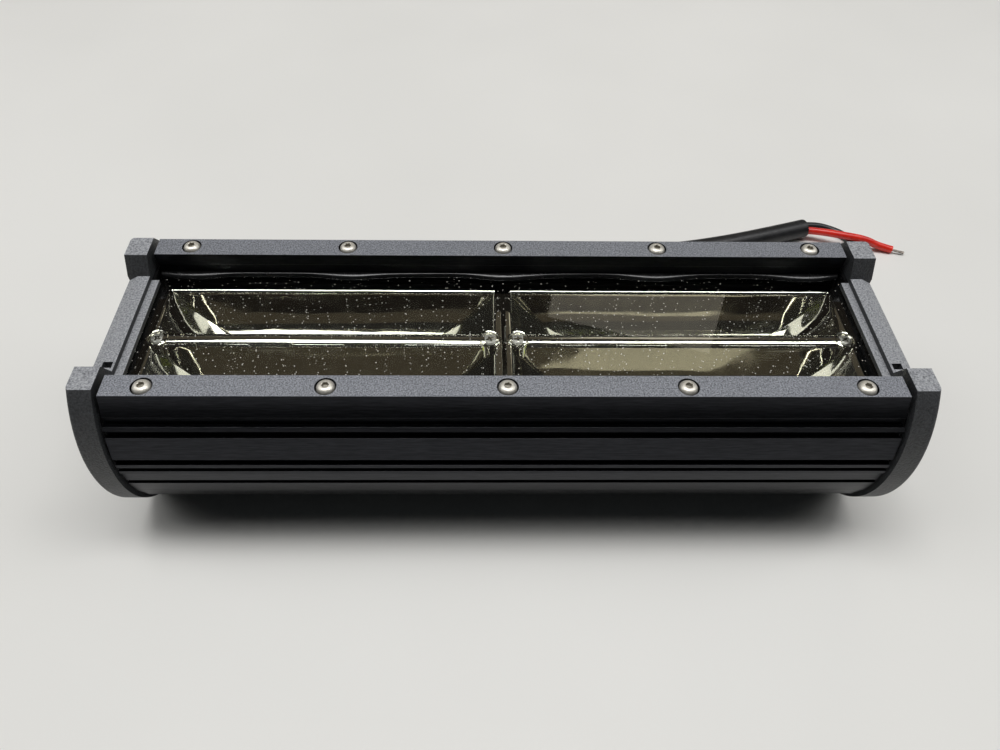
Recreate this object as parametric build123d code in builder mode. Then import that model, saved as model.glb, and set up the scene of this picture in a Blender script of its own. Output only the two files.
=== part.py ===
from build123d import *
import math
import os

os.makedirs("parts", exist_ok=True)

# LED light bar lying on its back, lens up. X runs along the bar, Y across it, Z up.
# The origin is at the middle of the flat back, on the surface that the bar stands on.

# ---- driving dimensions, mm ----
body_length = 238.0        # housing extrusion
body_radius = 43.3         # round flank of the extrusion
cap_radius = 44.4          # round rim of the end caps
axis_z = 40.0              # height of the round section's centre
face_z = 68.0              # top of the bezel rails
rim_gap = 1.0              # gasket between extrusion and cap
cap_thick = 7.5

rail_thick = 6.4
rail_inner_y = 26.5
rail_outer_y = 34.4
rail_length = 237.2
seat_z = face_z - rail_thick

lens_top_z = 59.0
lens_thick = 3.0
lens_half_width = 28.3
lens_length = 237.0
ledge_z = 55.0
pocket_half_width = 28.6
chamber_half_width = 26.0

web_top_z = 34.5
web_thick = 4.0
driver_floor_z = 11.0
driver_half_width = 22.0

reflector_top_z = 53.5
reflector_length = 117.0
reflector_width = 47.8
reflector_gap = 1.4
cup_bottom_z = 37.6
cup_slot_length = 72.0
cup_slot_width = 5.6
ridge_width = 2.8
wall = 1.2

board_thick = 1.6
pad_thick = 0.5
board_z = web_top_z + pad_thick
board_top_z = board_z + board_thick

rail_screw_count = 5
rail_screw_pitch = 53.4
rail_screw_y = 30.7
m3_radius = 1.5
m3_head_radius = 2.8
m3_head_height = 1.9
m3_socket = 2.0            # across flats
m4_radius = 2.0
m4_head_radius = 3.8
m4_head_height = 2.2
m4_socket = 2.5
m25_radius = 1.25          # small screws of the two circuit boards
shank_play = 0.05          # a screw's shank is this much smaller than its thread hole

ear_top_z = 69.4
ear_inner_y = 24.5
ear_foot_y = 21.0
cap_middle_z = 63.0
slot_mouth = 8.6           # bolt channel along the flat back, for M8 heads
slot_width = 14.0
slot_lip = 2.6
slot_height = 6.0
cap_screw_spots = [(33.2, 46.5), (-33.2, 46.5), (30.0, 24.0), (-30.0, 24.0)]
cap_screw_length = 16.0
cap_bore_depth = 2.6
vent_seat_radius = 5.4
vent_seat_depth = 2.4
vent_stem_radius = 2.4
mount_z = 21.0
mount_radius = 4.0
mount_depth = 12.0

sheath_diameter = 8.8
wire_diameter = 3.5
gland_x = 0.0
gland_z = 24.0
spot_face_y = 34.2

half_body = body_length / 2
cap_inner_x = half_body + rim_gap
cap_outer_x = cap_inner_x + cap_thick
module_x = reflector_gap / 2 + reflector_length / 2
row_y = (reflector_width + ridge_width) / 4
post_inset = 4.0           # reflector screw post, in from the middle of the bar
post_end_inset = 3.2       # and in from the bar's end
post_radius = 3.0
post_head_radius = 2.6
post_head_sink = 2.2       # screw head's seat below the reflector's top
rail_screw_spots = [(i - (rail_screw_count - 1) / 2) * rail_screw_pitch for i in range(rail_screw_count)]


def finish_part(builder, name):
    """Label a finished piece and write it as its own STEP file."""
    builder.part.label = name
    export_step(builder.part, f"parts/{name}.step")


def on_round(radius, angle):
    """Point of the round section at an angle above the horizontal, degrees."""
    turn = math.radians(angle)
    return (radius * math.cos(turn), axis_z + radius * math.sin(turn))


def round_y(radius, z):
    """Half width of the round section at a height."""
    return math.sqrt(radius**2 - (z - axis_z) ** 2)


# ---- housing extrusion ----
# Bands down one flank: start angle, end angle, how far the surface sits below the full radius.
flank_bands = [
    (29.2, 26.1, 1.8),
    (26.0, 24.0, 0.0),
    (23.9, 21.0, 1.8),
    (20.9, 9.6, 0.0),
    (9.5, 6.5, 1.8),
    (6.4, 4.5, 0.0),
    (4.4, 2.4, 1.8),
    (2.3, 0.6, 0.0),
    (0.5, -6.0, 0.5),
    (-6.1, -8.0, 1.8),
    (-8.1, -18.0, 0.2),
    (-18.1, -28.0, 0.2),
]
fin_count = 4
fin_pitch = 8.0
fin_slot = 3.4
fin_depth = 5.0
flank = [(pocket_half_width, seat_z), (round_y(body_radius - 1.8, seat_z), seat_z)]
for start, end, depth in flank_bands:
    flank.append(on_round(body_radius - depth, start))
    flank.append(on_round(body_radius - depth, end))
for fin in range(fin_count):
    slot_start = flank_bands[-1][1] - 1.0 - fin * fin_pitch
    flank.append(on_round(body_radius, slot_start))
    flank.append(on_round(body_radius - fin_depth, slot_start - 0.4))
    flank.append(on_round(body_radius - fin_depth, slot_start - fin_slot + 0.4))
    flank.append(on_round(body_radius, slot_start - fin_slot))
flank.append((round_y(body_radius, 0), 0))

hollow_y = 29.0
hollow_skin = 3.0
hollow_low_z = 36.5
hollow_high_z = 53.0
boss_radius = 4.6

cap_thread_depth = 14.0
rail_thread_depth = 6.0
driver_thread_depth = 2.0
spot_face_radius = 10.6
gland_thread_radius = 6.0
board_screw_reach = 48.0
board_screw_y = 20.0
led_lead_y = 12.0
lead_hole_radius = 2.4

with BuildPart() as housing:
    with BuildSketch(Plane.YZ) as section:
        with BuildLine():
            Polyline(*flank, *[(-y, z) for y, z in reversed(flank)], close=True)
        make_face()
        # lens pocket, optics chamber and driver chamber
        with Locations((0, ledge_z)):
            Rectangle(2 * pocket_half_width, face_z - ledge_z, align=(Align.CENTER, Align.MIN), mode=Mode.SUBTRACT)
        with Locations((0, web_top_z)):
            Rectangle(
                2 * chamber_half_width, ledge_z - web_top_z + 1,
                align=(Align.CENTER, Align.MIN), mode=Mode.SUBTRACT,
            )
        driver_height = web_top_z - web_thick - driver_floor_z
        with Locations((0, driver_floor_z)):
            Rectangle(
                2 * driver_half_width, driver_height,
                align=(Align.CENTER, Align.MIN), mode=Mode.SUBTRACT,
            )
        # bolt channel along the flat back
        Rectangle(slot_mouth, 2 * slot_lip, mode=Mode.SUBTRACT)
        with Locations((0, slot_lip)):
            Rectangle(slot_width, slot_height, align=(Align.CENTER, Align.MIN), mode=Mode.SUBTRACT)
    extrude(amount=half_body, both=True)
    # weight-saving channels beside the optics chamber, clear of the screw bosses
    for side in (1, -1):
        with BuildSketch(Plane.YZ):
            with Locations((0, axis_z)):
                Circle(body_radius - hollow_skin)
            with Locations((side * (hollow_y + 20), (hollow_low_z + hollow_high_z) / 2)):
                Rectangle(40, hollow_high_z - hollow_low_z, mode=Mode.INTERSECT)
            with Locations((side * cap_screw_spots[0][0], cap_screw_spots[0][1])):
                Circle(boss_radius, mode=Mode.SUBTRACT)
        extrude(amount=half_body, both=True, mode=Mode.SUBTRACT)
    # end-cap screw holes
    for end in (1, -1):
        with BuildSketch(Plane.YZ.offset(end * half_body)):
            with Locations(*cap_screw_spots):
                Circle(m4_radius)
        extrude(amount=-end * cap_thread_depth, mode=Mode.SUBTRACT)
    # rail screw holes, tapped into the flanks
    with BuildSketch(Plane.XY.offset(seat_z)):
        with Locations(*[(x, side * rail_screw_y) for x in rail_screw_spots for side in (1, -1)]):
            Circle(m3_radius)
    extrude(amount=-rail_thread_depth, mode=Mode.SUBTRACT)
    # spot face and hole for the cable gland, in the far flank
    with BuildSketch(Plane.XZ.offset(-spot_face_y)):
        with Locations((gland_x, gland_z)):
            Circle(spot_face_radius)
    extrude(amount=spot_face_y - body_radius, mode=Mode.SUBTRACT)
    with BuildSketch(Plane.XZ.offset(-spot_face_y)):
        with Locations((gland_x, gland_z)):
            Circle(gland_thread_radius)
    extrude(amount=spot_face_y - driver_half_width + 1, mode=Mode.SUBTRACT)
    # reflector, board and lead holes in the web
    post_x = [
        side * (reflector_gap / 2 + near) for side in (1, -1) for near in (post_inset, reflector_length - post_end_inset)
    ]
    board_screw_spots = [
        (side * (module_x + reach), y)
        for side in (1, -1)
        for reach in (-board_screw_reach, board_screw_reach)
        for y in (-board_screw_y, board_screw_y)
    ]
    with BuildSketch(Plane.XY.offset(web_top_z)):
        with Locations(*[(x, 0) for x in post_x]):
            Circle(m3_radius)
        with Locations(*board_screw_spots):
            Circle(m25_radius)
        with Locations((0, led_lead_y), (0, -led_lead_y)):
            Circle(lead_hole_radius)
    extrude(amount=-web_thick, mode=Mode.SUBTRACT)
    # driver board holes
    driver_spots = [(x, y) for x in (-62, 62) for y in (-16, 16)]
    with BuildSketch(Plane.XY.offset(driver_floor_z)):
        with Locations(*driver_spots):
            Circle(m25_radius)
    extrude(amount=-driver_thread_depth, mode=Mode.SUBTRACT)
finish_part(housing, "housing")

# ---- end caps, gaskets and their screws ----
bevel_width = 3.5
bevel_drop = 1.9
lens_lip = 2.6
lens_lip_thick = 1.6
lens_play = 0.6            # between the lens and the lip over its end
mount_boss_radius = 7.5
mount_boss_length = 6.0
for side, word in ((-1, "left"), (1, "right")):
    with BuildPart() as end_cap:
        with BuildSketch(Plane.YZ.offset(side * cap_inner_x)):
            with Locations((0, axis_z)):
                Circle(cap_radius)
            with Locations((0, ear_top_z)):
                Rectangle(120, ear_top_z, align=(Align.CENTER, Align.MAX), mode=Mode.INTERSECT)
            with BuildLine():
                Polyline(
                    (-ear_inner_y, ear_top_z), (-ear_foot_y, cap_middle_z),
                    (ear_foot_y, cap_middle_z), (ear_inner_y, ear_top_z),
                    (ear_inner_y, ear_top_z + 5), (-ear_inner_y, ear_top_z + 5), close=True,
                )
            make_face(mode=Mode.SUBTRACT)
        extrude(amount=side * cap_thick)
        # the bolt channel runs out through the cap
        with BuildSketch(Plane.YZ.offset(side * cap_inner_x)):
            Rectangle(slot_mouth, 2 * slot_lip)
            with Locations((0, slot_lip)):
                Rectangle(slot_width, slot_height, align=(Align.CENTER, Align.MIN))
        extrude(amount=side * cap_thick, mode=Mode.SUBTRACT)
        # soft edge round the outer face
        outer_face = end_cap.faces().sort_by(Axis.X)[-1 if side > 0 else 0]
        round_edges = outer_face.edges().filter_by(GeomType.CIRCLE)
        fillet(round_edges, radius=1.2)
        # bevel along the lowered middle
        with BuildSketch(Plane.XZ.offset(-ear_foot_y)):
            with BuildLine():
                Polyline(
                    (side * (cap_outer_x - bevel_width), cap_middle_z + 0.01),
                    (side * cap_outer_x, cap_middle_z - bevel_drop),
                    (side * cap_outer_x, cap_middle_z + 0.01), close=True,
                )
            make_face()
        extrude(amount=2 * ear_foot_y, mode=Mode.SUBTRACT)
        # small pocket beside the near ear
        with BuildSketch(Plane.XY.offset(cap_middle_z)):
            with Locations((side * (cap_inner_x + 2.2), -ear_foot_y + 2.6)):
                Rectangle(3.0, 2.4)
        extrude(amount=-3.0, mode=Mode.SUBTRACT)
        # lip over the end of the lens, and boss behind the bracket thread
        with BuildSketch(Plane.YZ.offset(side * (cap_inner_x - lens_lip))):
            with Locations((0, lens_top_z + lens_play)):
                Rectangle(2 * ear_foot_y, lens_lip_thick, align=(Align.CENTER, Align.MIN))
        extrude(amount=side * lens_lip)
        with BuildSketch(Plane.YZ.offset(side * (cap_inner_x - mount_boss_length))):
            with Locations((0, mount_z)):
                Circle(mount_boss_radius)
        extrude(amount=side * mount_boss_length)
        with BuildSketch(Plane.YZ.offset(side * cap_outer_x)):
            with Locations((0, mount_z)):
                Circle(mount_radius)
        extrude(amount=-side * mount_depth, mode=Mode.SUBTRACT)
        # counterbored screw holes
        with BuildSketch(Plane.YZ.offset(side * cap_inner_x)):
            with Locations(*cap_screw_spots):
                Circle(m4_radius + 0.2)
        extrude(amount=side * cap_thick, mode=Mode.SUBTRACT)
        with BuildSketch(Plane.YZ.offset(side * cap_outer_x)):
            with Locations(*cap_screw_spots):
                Circle(m4_head_radius + 0.4)
        extrude(amount=-side * cap_bore_depth, mode=Mode.SUBTRACT)
        # seat of the breather, in the left cap only
        if side < 0:
            with BuildSketch(Plane.YZ.offset(side * cap_outer_x)):
                with Locations((0, axis_z)):
                    Circle(vent_seat_radius)
            extrude(amount=-side * vent_seat_depth, mode=Mode.SUBTRACT)
            with BuildSketch(Plane.YZ.offset(side * cap_outer_x)):
                with Locations((0, axis_z)):
                    Circle(vent_stem_radius + 0.1)
            extrude(amount=-side * cap_thick, mode=Mode.SUBTRACT)
    finish_part(end_cap, f"end_cap_{word}")

    with BuildPart() as cap_gasket:
        with BuildSketch(Plane.YZ.offset(side * half_body)):
            with Locations((0, axis_z)):
                Circle(body_radius - 2.0)
            with Locations((0, seat_z - 0.4)):
                Rectangle(120, seat_z - 2.4, align=(Align.CENTER, Align.MAX), mode=Mode.INTERSECT)
            with Locations((0, lens_top_z + 0.5)):
                Rectangle(2 * ear_foot_y + 0.6, 10, align=(Align.CENTER, Align.MIN), mode=Mode.SUBTRACT)
            with Locations((0, axis_z + 4)):
                Rectangle(44, 12, mode=Mode.SUBTRACT)
            with Locations((0, mount_z)):
                Circle(mount_boss_radius + 0.2, mode=Mode.SUBTRACT)
            Rectangle(slot_width, 2 * (slot_lip + slot_height), mode=Mode.SUBTRACT)
            with Locations(*cap_screw_spots):
                Circle(m4_radius + 0.2, mode=Mode.SUBTRACT)
        extrude(amount=side * rim_gap)
    finish_part(cap_gasket, f"cap_gasket_{word}")

    with BuildPart() as cap_screws:
        head_x = side * (cap_outer_x - cap_bore_depth)
        with BuildSketch(Plane.YZ.offset(head_x)):
            with Locations(*cap_screw_spots):
                Circle(m4_head_radius)
        extrude(amount=side * m4_head_height)
        head_faces = cap_screws.faces().filter_by(Axis.X).sort_by(Axis.X)
        rims = head_faces[-4:] if side > 0 else head_faces[:4]
        fillet(rims.edges(), radius=1.4)
        with BuildSketch(Plane.YZ.offset(head_x + side * m4_head_height)):
            with Locations(*cap_screw_spots):
                RegularPolygon(m4_socket / 2, 6, major_radius=False)
        extrude(amount=-side * 1.4, mode=Mode.SUBTRACT)
        with BuildSketch(Plane.YZ.offset(head_x)):
            with Locations(*cap_screw_spots):
                Circle(m4_radius - shank_play)
        extrude(amount=-side * cap_screw_length)
    finish_part(cap_screws, f"cap_screws_{word}")

with BuildPart() as breather_vent:
    with BuildSketch(Plane.YZ.offset(-cap_outer_x + 0.2)):
        with Locations((0, axis_z)):
            Circle(vent_seat_radius - 0.2)
    extrude(amount=vent_seat_depth - 0.2)
    fillet(breather_vent.faces().sort_by(Axis.X)[0].edges(), radius=0.8)
    with BuildSketch(Plane.YZ.offset(-cap_outer_x + vent_seat_depth)):
        with Locations((0, axis_z)):
            Circle(vent_stem_radius)
    extrude(amount=cap_thick - vent_seat_depth - 0.2)
finish_part(breather_vent, "breather_vent")

# ---- bezel rails and their screws ----
rail_bore_depth = 1.1
rail_bore_radius = 3.2
rail_screw_length = 10.0
rail_step_z = face_z - 4.4
lip_z = lens_top_z + lens_play
for side, word in ((-1, "near"), (1, "far")):
    with BuildPart() as bezel_rail:
        with BuildSketch(Plane.YZ):
            with BuildLine():
                Polyline(
                    (side * rail_outer_y, face_z), (side * rail_inner_y, face_z),
                    (side * rail_inner_y, rail_step_z), (side * (rail_inner_y + 0.5), rail_step_z - 0.4),
                    (side * (rail_inner_y + 0.5), lip_z), (side * (pocket_half_width - 0.2), lip_z),
                    (side * (pocket_half_width - 0.2), seat_z),
                    (side * round_y(body_radius, seat_z), seat_z),
                )
                ThreePointArc(
                    (side * round_y(body_radius, seat_z), seat_z),
                    (side * round_y(body_radius + 0.15, (seat_z + face_z) / 2), (seat_z + face_z) / 2),
                    (side * rail_outer_y, face_z),
                )
            make_face()
        extrude(amount=rail_length / 2, both=True)
        with BuildSketch(Plane.XY.offset(face_z)):
            with Locations(*[(x, side * rail_screw_y) for x in rail_screw_spots]):
                Circle(rail_bore_radius)
        extrude(amount=-rail_bore_depth, mode=Mode.SUBTRACT)
        with BuildSketch(Plane.XY.offset(face_z)):
            with Locations(*[(x, side * rail_screw_y) for x in rail_screw_spots]):
                Circle(m3_radius + 0.15)
        extrude(amount=-rail_thick, mode=Mode.SUBTRACT)
    finish_part(bezel_rail, f"bezel_rail_{word}")

    head_z = face_z - rail_bore_depth
    with BuildPart() as bezel_screws:
        with BuildSketch(Plane.XY.offset(head_z)):
            with Locations(*[(x, side * rail_screw_y) for x in rail_screw_spots]):
                Circle(m3_head_radius)
        extrude(amount=m3_head_height)
        fillet(bezel_screws.faces().filter_by(Axis.Z).group_by(Axis.Z)[-1].edges(), radius=1.1)
        with BuildSketch(Plane.XY.offset(head_z + m3_head_height)):
            with Locations(*[(x, side * rail_screw_y) for x in rail_screw_spots]):
                RegularPolygon(m3_socket / 2, 6, major_radius=False)
        extrude(amount=-1.2, mode=Mode.SUBTRACT)
        with BuildSketch(Plane.XY.offset(head_z)):
            with Locations(*[(x, side * rail_screw_y) for x in rail_screw_spots]):
                Circle(m3_radius - shank_play)
        extrude(amount=-rail_screw_length)
    finish_part(bezel_screws, f"bezel_screws_{word}")

# ---- lens and lens gaskets ----
with BuildPart() as lens:
    with BuildSketch(Plane.XY.offset(lens_top_z - lens_thick)):
        Rectangle(lens_length, 2 * lens_half_width)
    extrude(amount=lens_thick)
finish_part(lens, "lens")

lens_gasket_y = 27.6
lens_gasket_width = 1.4
for word, low_z, high_z in (
    ("lower", ledge_z, lens_top_z - lens_thick),
    ("upper", lens_top_z, lip_z),
):
    with BuildPart() as lens_gasket:
        with BuildSketch(Plane.XY.offset(low_z)):
            with GridLocations(0, 2 * lens_gasket_y, 1, 2):
                Rectangle(lens_length, lens_gasket_width)
        extrude(amount=high_z - low_z)
    finish_part(lens_gasket, f"lens_gasket_{word}")

# ---- reflectors, LED boards and thermal pads, one set per half ----
led_count = 16
led_pitch = 4.4
led_side = 3.0
led_height = 0.7
board_width = 46.0
cup_width = (reflector_width - 3 * ridge_width / 2) / 2
cup_length = reflector_length - 2 * wall
for side, word in ((-1, "left"), (1, "right")):
    centre_x = side * module_x
    posts = [
        side * (reflector_gap / 2 + post_inset),
        side * (reflector_gap / 2 + reflector_length - post_end_inset),
    ]
    with BuildPart() as reflector:
        for row in (-1, 1):
            with BuildSketch(Plane.XY.offset(reflector_top_z - wall)):
                with Locations((centre_x, row * row_y)):
                    Rectangle(reflector_length - 0.2, cup_width + 1.0)
            with BuildSketch(Plane.XY.offset(cup_bottom_z)):
                with Locations((centre_x, row * row_y)):
                    Rectangle(cup_slot_length + 2 * wall, cup_slot_width + 2 * wall)
            loft()
        with BuildSketch(Plane.XY.offset(reflector_top_z - wall)):
            with Locations((centre_x, 0)):
                Rectangle(reflector_length, reflector_width)
        extrude(amount=wall)
        for row in (-1, 1):
            with BuildSketch(Plane.XY.offset(reflector_top_z)):
                with Locations((centre_x, row * row_y)):
                    Rectangle(cup_length, cup_width - 0.6)
            with BuildSketch(Plane.XY.offset(cup_bottom_z)):
                with Locations((centre_x, row * row_y)):
                    Rectangle(cup_slot_length, cup_slot_width)
            loft(mode=Mode.SUBTRACT)
        with BuildSketch(Plane.XY.offset(board_top_z)):
            with Locations(*[(x, 0) for x in posts]):
                Circle(post_radius)
        extrude(amount=reflector_top_z - post_head_sink - board_top_z)
        with BuildSketch(Plane.XY.offset(reflector_top_z - post_head_sink)):
            with Locations(*[(x, 0) for x in posts]):
                Circle(post_radius - 0.1)
        extrude(amount=post_head_sink, mode=Mode.SUBTRACT)
        with BuildSketch(Plane.XY.offset(board_top_z)):
            with Locations(*[(x, 0) for x in posts]):
                Circle(m3_radius + 0.1)
        extrude(amount=reflector_top_z - board_top_z, mode=Mode.SUBTRACT)
    finish_part(reflector, f"reflector_{word}")

    holes = [(x, y) for x, y in board_screw_spots if x * side > 0]
    for piece, low_z, thick in (("led_board", board_z, board_thick), ("thermal_pad", web_top_z, pad_thick)):
        with BuildPart() as flat_piece:
            with BuildSketch(Plane.XY.offset(low_z)):
                with Locations((centre_x, 0)):
                    Rectangle(reflector_length - 1.0, board_width)
                with Locations(*[(x, 0) for x in posts]):
                    Circle(m3_radius + 0.15, mode=Mode.SUBTRACT)
                with Locations(*holes):
                    Circle(m25_radius + 0.15, mode=Mode.SUBTRACT)
                with Locations((0, led_lead_y), (0, -led_lead_y)):
                    Circle(lead_hole_radius + 0.2, mode=Mode.SUBTRACT)
            extrude(amount=thick)
        finish_part(flat_piece, f"{piece}_{word}")

    with BuildPart() as led_chips:
        with BuildSketch(Plane.XY.offset(board_top_z)):
            for row in (-1, 1):
                with Locations((centre_x, row * row_y)):
                    with GridLocations(led_pitch, 0, led_count, 1):
                        Rectangle(led_side, led_side)
        extrude(amount=led_height)
    finish_part(led_chips, f"led_chips_{word}")

cross_span = 2.8           # cross recess of the reflector screws
cross_width = 0.6
reflector_screw_length = 19.0
with BuildPart() as reflector_screws:
    with BuildSketch(Plane.XY.offset(reflector_top_z - post_head_sink)):
        with Locations(*[(x, 0) for x in post_x]):
            Circle(post_head_radius)
    extrude(amount=m3_head_height)
    fillet(reflector_screws.faces().filter_by(Axis.Z).group_by(Axis.Z)[-1].edges(), radius=0.9)
    with BuildSketch(Plane.XY.offset(reflector_top_z - post_head_sink + m3_head_height)):
        with Locations(*[(x, 0) for x in post_x]):
            Rectangle(cross_span, cross_width)
            Rectangle(cross_width, cross_span)
    extrude(amount=-1.0, mode=Mode.SUBTRACT)
    with BuildSketch(Plane.XY.offset(reflector_top_z - post_head_sink)):
        with Locations(*[(x, 0) for x in post_x]):
            Circle(m3_radius - shank_play)
    extrude(amount=-reflector_screw_length)
finish_part(reflector_screws, "reflector_screws")

m25_head_radius = 2.2
board_screw_length = 5.5
with BuildPart() as board_screws:
    with BuildSketch(Plane.XY.offset(board_top_z)):
        with Locations(*board_screw_spots):
            Circle(m25_head_radius)
    extrude(amount=1.2)
    with BuildSketch(Plane.XY.offset(board_top_z)):
        with Locations(*board_screw_spots):
            Circle(m25_radius - shank_play)
    extrude(amount=-board_screw_length)
finish_part(board_screws, "board_screws")

# ---- driver in the rear chamber ----
standoff = 4.0
driver_board_length = 136.0
driver_board_width = 40.0
driver_screw_length = 7.0
driver_z = driver_floor_z + standoff
driver_top_z = driver_z + board_thick
with BuildPart() as driver_board:
    with BuildSketch(Plane.XY.offset(driver_z)):
        Rectangle(driver_board_length, driver_board_width)
        with Locations(*driver_spots):
            Circle(m25_radius + 0.15, mode=Mode.SUBTRACT)
    extrude(amount=board_thick)
finish_part(driver_board, "driver_board")

with BuildPart() as driver_standoffs:
    with BuildSketch(Plane.XY.offset(driver_floor_z)):
        with Locations(*driver_spots):
            Circle(3.0)
            Circle(m25_radius + 0.05, mode=Mode.SUBTRACT)
    extrude(amount=standoff)
finish_part(driver_standoffs, "driver_standoffs")

with BuildPart() as driver_screws:
    with BuildSketch(Plane.XY.offset(driver_top_z)):
        with Locations(*driver_spots):
            Circle(m25_head_radius + 0.2)
    extrude(amount=1.6)
    with BuildSketch(Plane.XY.offset(driver_top_z)):
        with Locations(*driver_spots):
            Circle(m25_radius - shank_play)
    extrude(amount=-driver_screw_length)
finish_part(driver_screws, "driver_screws")

inductor_radius = 9.0
with BuildPart() as driver_inductor:
    with BuildSketch(Plane.XY.offset(driver_top_z)):
        with Locations((-20, 0)):
            Circle(inductor_radius)
            Circle(3.5, mode=Mode.SUBTRACT)
    extrude(amount=9)
    fillet(driver_inductor.faces().filter_by(Axis.Z).sort_by(Axis.Z)[-1].edges(), radius=1.6)
finish_part(driver_inductor, "driver_inductor")

with BuildPart() as driver_capacitors:
    with BuildSketch(Plane.XY.offset(driver_top_z)):
        with Locations((7, 8), (7, -8), (20, 8), (20, -8)):
            Circle(4.2)
    extrude(amount=11)
    fillet(driver_capacitors.faces().filter_by(Axis.Z).group_by(Axis.Z)[-1].edges(), radius=0.8)
finish_part(driver_capacitors, "driver_capacitors")

with BuildPart() as driver_chips:
    with BuildSketch(Plane.XY.offset(driver_top_z)):
        with Locations((-44, 8), (-44, -8)):
            Rectangle(10, 9)
        with Locations((-34, 12)):
            Rectangle(5, 6)
    extrude(amount=2.4)
finish_part(driver_chips, "driver_chips")

terminal_x = 46.0
terminal_width = 16.0
terminal_pitch = 4.4
terminal_hole_z = driver_top_z + 3.5
terminal_holes = [(terminal_x + side * terminal_pitch / 2, terminal_hole_z) for side in (1, -1)]
with BuildPart() as terminal_block:
    with BuildSketch(Plane.XY.offset(driver_top_z)):
        with Locations((terminal_x, 0)):
            Rectangle(9, terminal_width)
    extrude(amount=8)
    with BuildSketch(Plane.XZ.offset(-terminal_width / 2)):
        with Locations(*terminal_holes):
            Circle(1.3)
    extrude(amount=5, mode=Mode.SUBTRACT)
finish_part(terminal_block, "terminal_block")

# ---- cable gland, its seal and nuts ----
bore_radius = sheath_diameter / 2 + 0.05
gland_hex = 8.6            # half of the width across flats
flange_thick = 5.6
neck_radius = 7.0
neck_length = 12.0
tail_length = 15.4         # threaded tail, in through the housing wall
nut_face = 2.4             # closed end of the nut, round the cable
neck_end_y = spot_face_y + neck_length
nut_start_y = spot_face_y + flange_thick + 0.2
nut_end_y = spot_face_y + 20.0
sheath_start_y = nut_end_y - nut_face
with BuildPart() as gland_body:
    with BuildSketch(Plane.XZ.offset(-spot_face_y)):
        with Locations((gland_x, gland_z)):
            RegularPolygon(gland_hex, 6, major_radius=False)
    extrude(amount=-flange_thick)
    with BuildSketch(Plane.XZ.offset(-spot_face_y)):
        with Locations((gland_x, gland_z)):
            Circle(neck_radius)
    extrude(amount=-neck_length)
    with BuildSketch(Plane.XZ.offset(-spot_face_y)):
        with Locations((gland_x, gland_z)):
            Circle(gland_thread_radius - 0.1)
    extrude(amount=tail_length)
    with BuildSketch(Plane.XZ.offset(tail_length - spot_face_y)):
        with Locations((gland_x, gland_z)):
            Circle(bore_radius)
    extrude(amount=-(tail_length + neck_length), mode=Mode.SUBTRACT)
finish_part(gland_body, "gland_body")

with BuildPart() as gland_nut:
    with BuildSketch(Plane.XZ.offset(-nut_start_y)):
        with Locations((gland_x, gland_z)):
            RegularPolygon(gland_hex, 6, major_radius=False)
    extrude(amount=-7.5)
    with BuildSketch(Plane.XZ.offset(-nut_start_y)):
        with Locations((gland_x, gland_z)):
            Circle(gland_hex - 0.1)
    extrude(amount=-(nut_end_y - nut_start_y))
    fillet(gland_nut.faces().sort_by(Axis.Y)[-1].edges(), radius=4.0)
    with BuildSketch(Plane.XZ.offset(-nut_start_y)):
        with Locations((gland_x, gland_z)):
            Circle(neck_radius + 0.1)
    extrude(amount=-(nut_end_y - nut_start_y - nut_face), mode=Mode.SUBTRACT)
    with BuildSketch(Plane.XZ.offset(-nut_end_y)):
        with Locations((gland_x, gland_z)):
            Circle(bore_radius)
    extrude(amount=nut_end_y - nut_start_y, mode=Mode.SUBTRACT)
finish_part(gland_nut, "gland_nut")

with BuildPart() as gland_seal:
    with BuildSketch(Plane.XZ.offset(-neck_end_y)):
        with Locations((gland_x, gland_z)):
            Circle(neck_radius - 0.1)
            Circle(bore_radius, mode=Mode.SUBTRACT)
    extrude(amount=-(sheath_start_y - 0.1 - neck_end_y))
finish_part(gland_seal, "gland_seal")

lock_nut_thick = 2.6
with BuildPart() as gland_lock_nut:
    with BuildSketch(Plane.XZ.offset(-driver_half_width)):
        with Locations((gland_x, gland_z)):
            RegularPolygon(6.4, 6, major_radius=False)
            Circle(gland_thread_radius - 0.05, mode=Mode.SUBTRACT)
    extrude(amount=lock_nut_thick)
finish_part(gland_lock_nut, "gland_lock_nut")


# ---- cable, its two cores and the leads inside ----
def arc_radii(points):
    """Largest tangent arc for each corner of a route: 0.45 of its shorter run over tan(half the turn)."""
    radii = []
    for before, corner, after in zip(points, points[1:], points[2:]):
        run_in = Vector(*corner) - Vector(*before)
        run_out = Vector(*after) - Vector(*corner)
        turn = math.radians(run_in.get_angle(run_out))
        radii.append(0.45 * min(run_in.length, run_out.length) / math.tan(turn / 2))
    return radii


def export_tube(points, diameter, name):
    """Sweep a round tube along straight runs joined by tangent arcs, and write it."""
    radii = arc_radii(points)
    with BuildPart() as tube:
        with BuildLine():
            path = FilletPolyline(*points, radius=radii)
        with BuildSketch(Plane(origin=path @ 0, z_dir=path % 0)):
            Circle(diameter / 2)
        sweep(path=path)
    expected = math.pi * diameter**2 / 4 * path.length
    print(name, "length", round(path.length, 1), "volume ratio", round(tube.part.volume / expected, 4))
    print("   radii", [round(radius, 1) for radius in radii])
    finish_part(tube, name)


cable_end_y = spot_face_y - tail_length - 0.3
with BuildPart() as cable_inner:
    with BuildSketch(Plane.XZ.offset(-cable_end_y)):
        with Locations((gland_x, gland_z)):
            Circle(sheath_diameter / 2)
    extrude(amount=-(sheath_start_y - cable_end_y))
finish_part(cable_inner, "cable_inner")

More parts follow.
